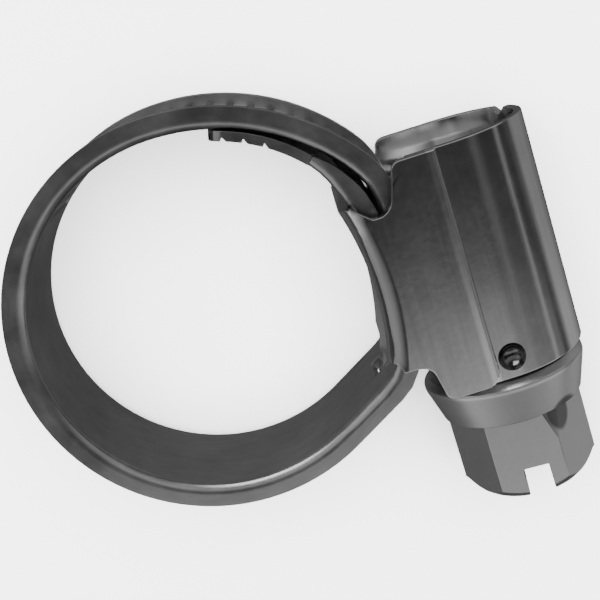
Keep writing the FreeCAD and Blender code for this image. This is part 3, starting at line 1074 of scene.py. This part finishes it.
    def make(self) -> Workpiece:
        """Makes the housing.

        Returns:
            The housing, in millimetres.
        """
        sheet = self.fold_sheet()
        sheet.reshape(self.press_saddle)
        sheet.face_outwards()
        faces = sheet.object.data.polygons
        base = min(faces, key=lambda face: face.center.x + abs(face.center.y - self.saddle_y))
        inwards = -1 if base.normal.x < 0 else 1
        sheet.finish_with("SOLIDIFY", thickness=self.sheet, offset=inwards, use_rim=True)
        sheet.weld(LOOSE)
        edge_x = self.sizes.axis_x - self.lap_edge
        sheet.open()
        sheet.pick_line(LOOSE, x=edge_x, z=self.near_wall)
        bpy.ops.mesh.bevel(offset=self.lap_round, segments=self.lap_steps, affect="EDGES")
        sheet.close()
        self.cut_openings(sheet)
        sheet.weld(self.cut_weld)
        sheet.break_edges(self.edge_break, self.break_from)
        self.press_stake(sheet)
        return sheet


@dataclass
class Screw:
    """The worm screw: turned worm, neck and collar, with a slotted hexagon head."""

    sizes: Sizes
    thread_depth: float = 0.55
    thread_crest: float = 0.22
    thread_root: float = 0.66
    thread_margin: float = 0.4
    thread_steps: int = 48
    worm_tip_y: float = 4.1
    worm_foot_y: float = -6.3
    tip_chamfer: float = 0.5
    neck_radius: float = 3.4
    neck_taper: float = 0.3
    collar_y: float = -9.2
    collar_radius: float = 5.05
    collar_foot_radius: float = 4.4
    collar_length: float = 2.85
    collar_rim: float = 0.3
    collar_chamfer: float = 0.4
    hex_flats: float = 7.3
    hex_length: float = 5.4
    hex_chamfer: float = 0.9
    hex_chamfer_slope: float = 1.2
    recess_radius: float = 0.78
    recess_length: float = 2.6
    recess_shift: float = 0.15
    slot_width: float = 1.6
    slot_depth: float = 2.0
    slot_shift: float = 0.3
    turn: float = 6.0
    round_steps: int = 96
    recess_steps: int = 32
    edge_break: float = 0.07
    break_from: float = 24.0

    @property
    def root(self) -> float:
        """Radius of the worm under its thread."""
        return self.sizes.worm_radius - self.thread_depth

    @property
    def hex_y(self) -> float:
        """Place at which the hexagon meets the collar."""
        return self.collar_y - self.collar_length

    @property
    def hex_corner(self) -> float:
        """Radius over the corners of the hexagon."""
        return self.hex_flats / math.sqrt(3)

    def turned(self, name: str, profile: Sequence[tuple[float, float]]) -> Workpiece:
        """Turns a bar to a profile, about the Y axis.

        Args:
            name: Name of the bar.
            profile: Radius and y of each step in millimetres, from one end to the other.

        Returns:
            The turned bar.
        """
        (radius, y), *steps = profile
        Workpiece.clear_bench()
        bpy.ops.mesh.primitive_circle_add(
            vertices=self.round_steps,
            radius=radius,
            fill_type="NGON",
            location=(0, y, 0),
            rotation=(math.radians(90), 0, 0),
        )
        bar = Workpiece(name)
        bar.settle()
        bar.open()
        bpy.ops.mesh.select_all(action="SELECT")
        for next_radius, next_y in steps:
            bar.draw_out(0, next_y - y, 0)
            grow = next_radius / radius
            bpy.ops.transform.resize(value=(grow, 1, grow), center_override=(0, next_y, 0))
            radius, y = next_radius, next_y
        bar.face_outwards()
        return bar

    def make_head(self) -> Workpiece:
        """Makes the hexagon head with its chamfered and slotted end.

        Returns:
            The head.
        """
        hex_y = self.hex_y
        end_y = hex_y - self.hex_length
        corner = self.hex_corner
        beyond = 1.0
        tangent = 0.01
        middle_y = (hex_y + self.collar_rim + end_y) / 2
        Workpiece.clear_bench()
        bpy.ops.mesh.primitive_cylinder_add(
            vertices=6,
            radius=corner,
            depth=hex_y + self.collar_rim - end_y,
            location=(0, middle_y, 0),
            rotation=(math.radians(90), math.radians(30), 0),
        )
        head = Workpiece("head")
        head.settle()
        shape = self.turned(
            "shape",
            [
                (corner + beyond, hex_y + 2 * self.collar_rim),
                (corner + beyond, hex_y - 10 * tangent),
                (corner + tangent, end_y + self.hex_chamfer),
                (corner - self.hex_chamfer * self.hex_chamfer_slope, end_y - tangent),
            ],
        )
        head.use_tool(shape, Cut.INSIDE)
        half = self.slot_width / 2
        slot = add_block(
            "slot",
            (self.slot_shift - half, end_y - beyond, -2 * corner),
            (self.slot_shift + half, end_y + self.slot_depth, 2 * corner),
        )
        head.use_tool(slot, Cut.AWAY)
        return head

    def make_recess(self) -> Workpiece:
        """Makes the tool for the hollow that tapers down one corner of the hexagon.

        Returns:
            The tool.
        """
        into_collar = 0.06
        out = unit(60) * (self.hex_corner + self.recess_shift)
        Workpiece.clear_bench()
        bpy.ops.mesh.primitive_cone_add(
            vertices=self.recess_steps,
            radius1=0,
            radius2=self.recess_radius,
            depth=self.recess_length,
            location=(out.x, self.hex_y + into_collar - self.recess_length / 2, out.y),
            rotation=(math.radians(-90), 0, 0),
        )
        recess = Workpiece("recess")
        recess.settle()
        return recess

    def make_thread(self) -> Workpiece:
        """Makes the ridge of the thread.

        Returns:
            The ridge, with its foot in the worm.
        """
        root = self.root
        start_y = self.worm_foot_y + self.thread_root / 2
        length = self.worm_tip_y - self.worm_foot_y - self.thread_margin - self.thread_root
        sunk = 0.15
        Workpiece.clear_bench()
        bpy.ops.mesh.primitive_plane_add(size=1, location=(0, 0, 0))
        ridge = Workpiece("thread")

        def section(co: Vector) -> Vector:
            """Takes a corner of the blank to its corner of the ridge's section.

            Args:
                co: Corner of the blank.

            Returns:
                Its new place.
            """
            at_crest = co.x > 0
            width = self.thread_crest if at_crest else self.thread_root
            radius = self.sizes.worm_radius if at_crest else root - sunk
            return Vector((radius, start_y + math.copysign(width / 2, co.y), 0))

        ridge.reshape(section)
        turns = length / self.sizes.rib_pitch
        ridge.finish_with(
            "SCREW",
            axis="Y",
            angle=2 * math.pi * turns,
            screw_offset=length,
            steps=int(self.thread_steps * turns),
            render_steps=int(self.thread_steps * turns),
            iterations=1,
            use_merge_vertices=False,
        )
        ridge.weld(NEAR)
        ends = (start_y, start_y + length)
        run_out = self.sizes.rib_pitch / 4

        def fade(co: Vector) -> Vector:
            """Sinks a point near an end of the ridge.

            Args:
                co: Point of the ridge.

            Returns:
                Its new place.
            """
            inwards = min(co.y - ends[0], ends[1] - co.y)
            reach = math.hypot(co.x, co.z)
            if inwards < run_out and reach > root:
                keep = max(0.0, inwards / run_out)
                shrink = (root - sunk + (reach - root + sunk) * keep) / reach
                return Vector((co.x * shrink, co.y, co.z * shrink))
            return co

        ridge.reshape(fade)
        return ridge

    def make(self) -> Workpiece:
        """Makes the screw.

        Returns:
            The screw, in millimetres, in its place in the housing.
        """
        root = self.root
        screw = self.turned(
            "screw",
            [
                (root - self.tip_chamfer, self.worm_tip_y),
                (root, self.worm_tip_y - self.tip_chamfer),
                (root, self.worm_foot_y),
                (self.neck_radius, self.worm_foot_y - self.neck_taper),
                (self.neck_radius, self.collar_y),
                (self.collar_radius - self.collar_chamfer, self.collar_y),
                (self.collar_radius, self.collar_y - self.collar_chamfer),
                (self.collar_radius, self.collar_y - self.collar_chamfer - self.collar_rim),
                (self.collar_foot_radius, self.hex_y),
            ],
        )
        screw.use_tool(self.make_head(), Cut.ONTO)
        screw.break_edges(self.edge_break, self.break_from)
        screw.use_tool(self.make_recess(), Cut.AWAY)
        screw.join(self.make_thread())
        turn = Quaternion(ALONG_Y, math.radians(-self.turn))
        centre = ALONG_X * self.sizes.axis_x
        screw.reshape(lambda co: turn @ co + centre)
        return screw


class Signal:
    """A socket of a shader that can be used in sums, products and the like."""

    def __init__(self, shader: "Shader", socket: bpy.types.NodeSocket) -> None:
        """Wraps an output socket."""
        self.shader = shader
        self.socket = socket

    def _math(self, operation: str, *values: Union["Signal", float]) -> "Signal":
        """Adds a Math node."""
        return self.shader.node("ShaderNodeMath", {"operation": operation}, dict(enumerate(values)))

    def __add__(self, other: Union["Signal", float]) -> "Signal":
        """Sum."""
        return self._math("ADD", self, other)

    __radd__ = __add__

    def __sub__(self, other: Union["Signal", float]) -> "Signal":
        """Difference."""
        return self._math("SUBTRACT", self, other)

    def __rsub__(self, other: float) -> "Signal":
        """Difference from a number."""
        return self._math("SUBTRACT", other, self)

    def __neg__(self) -> "Signal":
        """Opposite."""
        return 0.0 - self

    def __mul__(self, other: Union["Signal", float]) -> "Signal":
        """Product."""
        return self._math("MULTIPLY", self, other)

    __rmul__ = __mul__

    def __truediv__(self, other: Union["Signal", float]) -> "Signal":
        """Quotient."""
        return self._math("DIVIDE", self, other)

    def __pow__(self, other: float) -> "Signal":
        """Power."""
        return self._math("POWER", self, other)

    def __abs__(self) -> "Signal":
        """Value without its sign."""
        return self._math("ABSOLUTE", self)

    def angle_over(self, other: "Signal") -> "Signal":
        """Angle in radians whose tangent is this value over another."""
        return self._math("ARCTAN2", self, other)

    def clamped(self, low: float, high: float) -> "Signal":
        """Value kept between two limits."""
        return self.shader.node("ShaderNodeClamp", {}, {"Value": self, "Min": low, "Max": high})

    def ramp(self, low: float, high: float) -> "Signal":
        """Value stretched so that low becomes 0 and high becomes 1."""
        return ((self - low) / (high - low)).clamped(0.0, 1.0)


class Shader:
    """Node tree of one material or of the room."""

    def __init__(
        self, owner: Union[bpy.types.Material, bpy.types.World], surface: str = "BSDF_PRINCIPLED"
    ) -> None:
        """Takes up a node tree.

        Args:
            owner: Material or world, new.
            surface: Type of the node that the tree ends in.
        """
        owner.use_nodes = True
        self.owner = owner
        self.tree = owner.node_tree
        self.surface = next(n for n in self.tree.nodes if n.type == surface)

    def node(self, kind: str, settings: dict, inputs: dict, output: Union[int, str] = 0) -> Signal:
        """Adds a node.

        Args:
            kind: Type of the node.
            settings: Its settings by name, set first.
            inputs: Values or signals by the name or number of the socket.
            output: Name or number of the socket that is wanted.

        Returns:
            The output.
        """
        made = self.tree.nodes.new(kind)
        for name, value in settings.items():
            setattr(made, name, value)
        for name, value in inputs.items():
            self.feed(made.inputs[name], value)
        return Signal(self, made.outputs[output])

    def feed(self, socket: bpy.types.NodeSocket, value: object) -> None:
        """Links a signal to a socket, or sets its value.

        Args:
            socket: The socket.
            value: A signal, or a value that the socket takes.
        """
        if isinstance(value, Signal):
            self.tree.links.new(value.socket, socket)
        else:
            socket.default_value = value

    def set(self, **inputs: object) -> None:
        """Feeds sockets of the surface. Underscores stand for spaces."""
        for name, value in inputs.items():
            self.feed(self.surface.inputs[name.replace("_", " ")], value)

    def place(self) -> Signal:
        """Object coordinates in metres."""
        return self.node("ShaderNodeTexCoord", {}, {}, "Object")

    def axes(self, vector: Signal) -> tuple[Signal, Signal, Signal]:
        """Splits a vector into its three parts."""
        outputs = self.node("ShaderNodeSeparateXYZ", {}, {"Vector": vector}).socket.node.outputs
        return tuple(Signal(self, output) for output in outputs)

    def vector(self, x: object, y: object, z: object) -> Signal:
        """Joins three parts into a vector."""
        return self.node("ShaderNodeCombineXYZ", {}, {"X": x, "Y": y, "Z": z})

    def noise(self, vector: Signal, scale: float, detail: float, roughness: float) -> Signal:
        """Noise between 0 and 1."""
        inputs = {"Vector": vector, "Scale": scale, "Detail": detail, "Roughness": roughness}
        return self.node("ShaderNodeTexNoise", {}, inputs, "Fac")

    def grey(self, value: Signal) -> Signal:
        """Grey colour of a brightness."""
        return self.node("ShaderNodeCombineColor", {}, {"Red": value, "Green": value, "Blue": value})

    def bump(self, height: Signal, distance: float) -> Signal:
        """Normal that follows a height."""
        inputs = {"Height": height, "Distance": distance, "Strength": 1.0}
        return self.node("ShaderNodeBump", {}, inputs, "Normal")


class Grain(Enum):
    """Direction in which a finish is drawn."""

    ROUND_THE_RING = "ring"
    ALONG_THE_SCREW = "screw"
    NONE = "none"


class ShadedHollow(NamedTuple):
    """Hollow where shade is painted into the colour: its middle and reach in millimetres, and how dark it is.
    """

    middle: tuple[float, float, float]
    reach: float
    darkness: float


@dataclass(frozen=True)
class Steel:
    """Finish of a steel piece. Lengths are in millimetres, and a zero leaves a feature out.

    The base is the tone, the two spreads say how much tone and roughness vary, and painted_highlight_x is the
    span of a strip with a painted highlight.
    """

    name: str
    grain: Grain
    base: float
    spread: float
    roughness: float
    roughness_spread: float
    bump: float
    # Hollows where shade is painted into the colour.
    painted_shade_hollows: tuple[ShadedHollow, ...] = ()
    # Span in x of a strip where a highlight is painted into the colour.
    painted_highlight_x: tuple[float, float] = (0.0, 0.0)
    # Strength of the painted shade on the ribs and painted reflection between them.
    rib_paint_strength: float = 0.0
    # Painted shade on the turned edge: from this z, fading in over the given span of y.
    edge_shade_from_z: float = 0.0
    edge_shade_to_y: tuple[float, float] = (-9.5, -5.0)
    ring_draw: float = 0.003
    screw_draw: float = 0.05
    streak_scale: float = 2600.0
    cloud_scale: float = 260.0
    fleck_scale: float = 2400.0

    def lay(self, shader: Shader) -> Signal:
        """Draws the coordinates out along the grain.

        Args:
            shader: Shader of the material.

        Returns:
            The coordinates, for the streaks.
        """
        x, y, z = shader.axes(shader.place())
        if self.grain is Grain.ROUND_THE_RING:
            return shader.vector(y.angle_over(x) * self.ring_draw, (x * x + y * y) ** 0.5, z)
        if self.grain is Grain.ALONG_THE_SCREW:
            return shader.vector(x, y * self.screw_draw, z)
        return shader.vector(x, y, z)

    def material(self) -> bpy.types.Material:
        """Makes the material.

        Returns:
            The material.
        """
        shader = Shader(bpy.data.materials.new(self.name))
        streaks = shader.noise(self.lay(shader), self.streak_scale, 4.0, 0.6)
        cloud = shader.noise(shader.place(), self.cloud_scale, 5.0, 0.6)
        fleck = shader.noise(shader.place(), self.fleck_scale, 2.0, 0.5)
        tone = self.base + (streaks - 0.5) * self.spread + (cloud - 0.5) * self.spread * 1.4
        x, y, z = shader.axes(shader.place())
        # Painted light and shade: the ribs are darkened, and the outer face between them is lightened by a
        # negative mark.
        if self.rib_paint_strength:
            mark = shader.node("ShaderNodeAttribute", {"attribute_name": RIB_SHADE_MARK}, {}, "Fac")
            tone = tone * (1 - mark * self.rib_paint_strength)
        # Painted shade: the turned edge on the near side is darkened to dim its highlight, fading out towards
        # low y.
        if self.edge_shade_from_z:
            start = self.edge_shade_from_z * MM
            turned = z.ramp(start, start + 0.3 * MM) * y.ramp(*(edge * MM for edge in self.edge_shade_to_y))
            tone = tone * (1 - turned * (0.3 + (0.5 - cloud) * 0.6))
        # Painted highlight: a lighter strip along the lapped edge, on the near side.
        low, high = (edge * MM for edge in self.painted_highlight_x)
        if high > low:
            blur = 0.1 * MM
            strip = x.ramp(low - blur, low + blur) * (1 - x.ramp(high - blur / 2, high + blur / 2))
            tone = tone + strip * z.ramp(0.0, MM) * (0.18 + streaks * 0.3)
        # Painted shade: the colour is darkened inside each hollow, fading out at its rim.
        for hollow in self.painted_shade_hollows:
            reach = hollow.reach * MM
            a, b, c = ((part - middle * MM) / reach for part, middle in zip((x, y, z), hollow.middle))
            away = (a * a + b * b + c * c) ** 0.5
            tone = tone * (1 - (1 - away.ramp(0.8, 1.0)) * hollow.darkness)
        roughness = self.roughness + (cloud - 0.5) * self.roughness_spread + (fleck - 0.5) * 0.06
        shader.set(
            Base_Color=shader.grey(tone.clamped(0.02, 1.0)),
            Metallic=1.0,
            Roughness=roughness.clamped(0.05, 1.0),
            Normal=shader.bump(streaks + fleck * 0.4, self.bump * MM),
        )
        return shader.owner


def frame_of(right: Vector, upwards: Vector, back: Vector) -> Quaternion:
    """Turn that brings the three axes to the given ones."""
    return Matrix((right, upwards, back)).transposed().to_quaternion()


class Lamp(NamedTuple):
    """A soft light: the way to it from the part, its width and length in metres and its power in watts."""

    name: str
    towards: tuple[float, float, float]
    width: float
    length: float
    power: float


@dataclass(frozen=True)
class RoomTones:
    """Brightness of the room that the metal mirrors. A stripe also has its place and width in degrees."""

    above: float = 0.045
    window: float = 0.58
    left_above: float = 0.28
    rear_above: float = 0.5
    below: float = 0.08
    left_below: float = 0.07
    rear_below: float = 0.09
    patch_below: float = 0.1
    stripes: tuple[tuple[float, float, float], ...] = ((38.0, 10.0, 0.08), (74.0, 5.0, 0.28))


@dataclass
class Studio:
    """Floor, lights and camera."""

    camera_place: tuple[float, float, float] = (9.24, 16.05, 69.55)
    camera_aim: tuple[float, float, float] = (5.07, -1.86, 0.0)
    camera_right: tuple[float, float, float] = (0.95218, -0.30478, 0.02147)
    lens: float = 69.88
    floor_z: float = -5.2
    lamp_distance: float = 0.4
    floor_size: float = 4.0
    floor_tone: float = 0.9
    floor_glow: float = 0.55
    tones: RoomTones = RoomTones()
    mirrored: tuple[Lamp, ...] = (Lamp("back", (-0.15, 0.93, 0.35), 0.30, 0.25, 0.9),)
    unmirrored: tuple[Lamp, ...] = (
        Lamp("ceiling", (0.1, 0.2, 1.0), 0.5, 0.5, 10.0),
        Lamp("side", (-0.7, 0.5, 0.8), 0.3, 0.3, 2.0),
    )

    def floor(self) -> None:
        """Lays a plain pale floor, which the metal doesn't mirror."""
        Workpiece.clear_bench()
        bpy.ops.mesh.primitive_plane_add(size=self.floor_size, location=(0, 0, self.floor_z * MM))
        floor = bpy.context.object
        floor.name = "floor"
        floor.visible_glossy = False
        shader = Shader(bpy.data.materials.new("pale floor"))
        shader.set(
            Base_Color=(self.floor_tone, self.floor_tone, self.floor_tone, 1),
            Roughness=0.9,
            Emission_Color=(1, 1, 1, 1),
            Emission_Strength=self.floor_glow,
        )
        floor.data.materials.append(shader.owner)

    def room(self) -> None:
        """Makes the dim room that the metal mirrors.

        It is lighter low in front, behind, to the left and below on the right, with two upright stripes.
        Each ramp is over one part of the direction that the metal mirrors.
        """
        world = bpy.data.worlds.new("room")
        bpy.context.scene.world = world
        room = Shader(world, "BACKGROUND")
        x, y, z = room.axes(room.node("ShaderNodeTexCoord", {}, {}, "Generated"))
        around = x.angle_over(z)
        front = (-y).ramp(0.235, 0.42) * x.ramp(-0.13, 0.04) * (1 - x.ramp(0.3, 0.55) * 0.6)
        low_front = (-y).ramp(0.385, 0.43)
        rear = y.ramp(0.05, 0.2) * (1 - y.ramp(0.45, 0.75))
        left = (-x).ramp(0.2, 0.8)
        right = x.ramp(0.35, 0.8)
        window = (front + low_front * 1.3).clamped(0.0, 1.3) * (1 - (-y).ramp(0.66, 0.78) * 0.85)
        tones = self.tones
        above = tones.above + window * tones.window + left * tones.left_above + rear * tones.rear_above
        for degrees, width, glow in tones.stripes:
            off = abs(around - math.radians(degrees)) / math.radians(width)
            above = above + (1 - off).clamped(0.0, 1.0) * glow
        mirrored_table = right * (-z).ramp(0.12, 0.28) * (0.2 + (-y).ramp(0.22, 0.45) * 0.3)
        patch = (-x).ramp(0.03, 0.14) * (-y).ramp(0.08, 0.16) * (-z).ramp(0.9, 0.95) * tones.patch_below
        rear_low = y.ramp(0.15, 0.3) * tones.rear_below
        below = tones.below + mirrored_table + left * tones.left_below + rear_low + patch
        up = z.ramp(-0.03, 0.03)
        room.set(Color=room.grey(below + (above - below) * up), Strength=1.0)

    def lights(self) -> None:
        """Hangs soft lights: one behind, and two that light the floor and aren't mirrored by the metal."""
        for lamp in self.mirrored + self.unmirrored:
            light = bpy.data.lights.new(lamp.name, "AREA")
            light.shape = "RECTANGLE"
            light.size, light.size_y = lamp.width, lamp.length
            light.energy = lamp.power
            stand = bpy.data.objects.new(lamp.name, light)
            bpy.context.scene.collection.objects.link(stand)
            stand.visible_glossy = lamp in self.mirrored
            back = Vector(lamp.towards).normalized()
            stand.location = back * self.lamp_distance
            stand.rotation_mode = "QUATERNION"
            across = ALONG_Y.cross(back).normalized()
            stand.rotation_quaternion = frame_of(across, back.cross(across), back)

    def camera(self) -> None:
        """Stands the camera where the photograph was taken from."""
        data = bpy.data.cameras.new("camera")
        camera = bpy.data.objects.new("camera", data)
        bpy.context.scene.collection.objects.link(camera)
        bpy.context.scene.camera = camera
        data.sensor_width = 36.0
        data.lens = self.lens
        data.clip_start = 0.005
        place = Vector(self.camera_place)
        back = (place - Vector(self.camera_aim)).normalized()
        right = Vector(self.camera_right)
        right = (right - back * right.dot(back)).normalized()
        upwards = back.cross(right)
        camera.rotation_mode = "QUATERNION"
        camera.rotation_quaternion = frame_of(right, upwards, back)
        camera.location = place * MM


BAND_FINISH = Steel(
    "rolled strip",
    Grain.ROUND_THE_RING,
    base=0.45,
    spread=0.16,
    roughness=0.32,
    roughness_spread=0.18,
    bump=0.003,
    rib_paint_strength=0.55,
    # Painted shade on the near turned edge.
    edge_shade_from_z=3.7,
)
HOUSING_FINISH = Steel(
    "bright sheet",
    Grain.ALONG_THE_SCREW,
    base=0.62,
    spread=0.2,
    roughness=0.14,
    roughness_spread=0.1,
    bump=0.004,
    # Painted shade in the dent of the stake.
    painted_shade_hollows=(ShadedHollow((16.1, -7.6, 5.2), 0.86, 0.75),),
    # Painted highlight along the lapped edge of the near wall.
    painted_highlight_x=(14.55, 15.15),
)
SCREW_FINISH = Steel(
    "satin steel",
    Grain.NONE,
    base=0.6,
    spread=0.06,
    roughness=0.36,
    roughness_spread=0.12,
    bump=0.002,
    # Painted shade in the recess down one corner of the hexagon.
    painted_shade_hollows=(ShadedHollow((18.35, -12.6, 3.3), 1.25, 0.7),),
)


def main() -> None:
    """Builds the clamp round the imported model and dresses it."""
    logging.basicConfig(level=logging.INFO, format="%(message)s")
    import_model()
    sizes = Sizes()
    orders = (
        (Band(sizes), "band", "clamp", Slot.BAND, BAND_FINISH, 30.0),
        (Housing(sizes), "housing", "clamp", Slot.HOUSING, HOUSING_FINISH, 32.0),
        (Screw(sizes), "screw", "worm", Slot.SCREW, SCREW_FINISH, 30.0),
    )
    for maker, node, body, slot, finish, angle in orders:
        piece = maker.make().hand_over(angle)
        piece.name = node + "_metal"
        piece.data.materials.clear()
        piece.data.materials.append(finish.material())
        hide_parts(node)
        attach(piece, body)
        LOG.info("%s: %d faces", piece.name, len(piece.data.polygons))
    studio = Studio()
    studio.floor()
    studio.room()
    studio.lights()
    studio.camera()


if __name__ == "__main__":
    main()
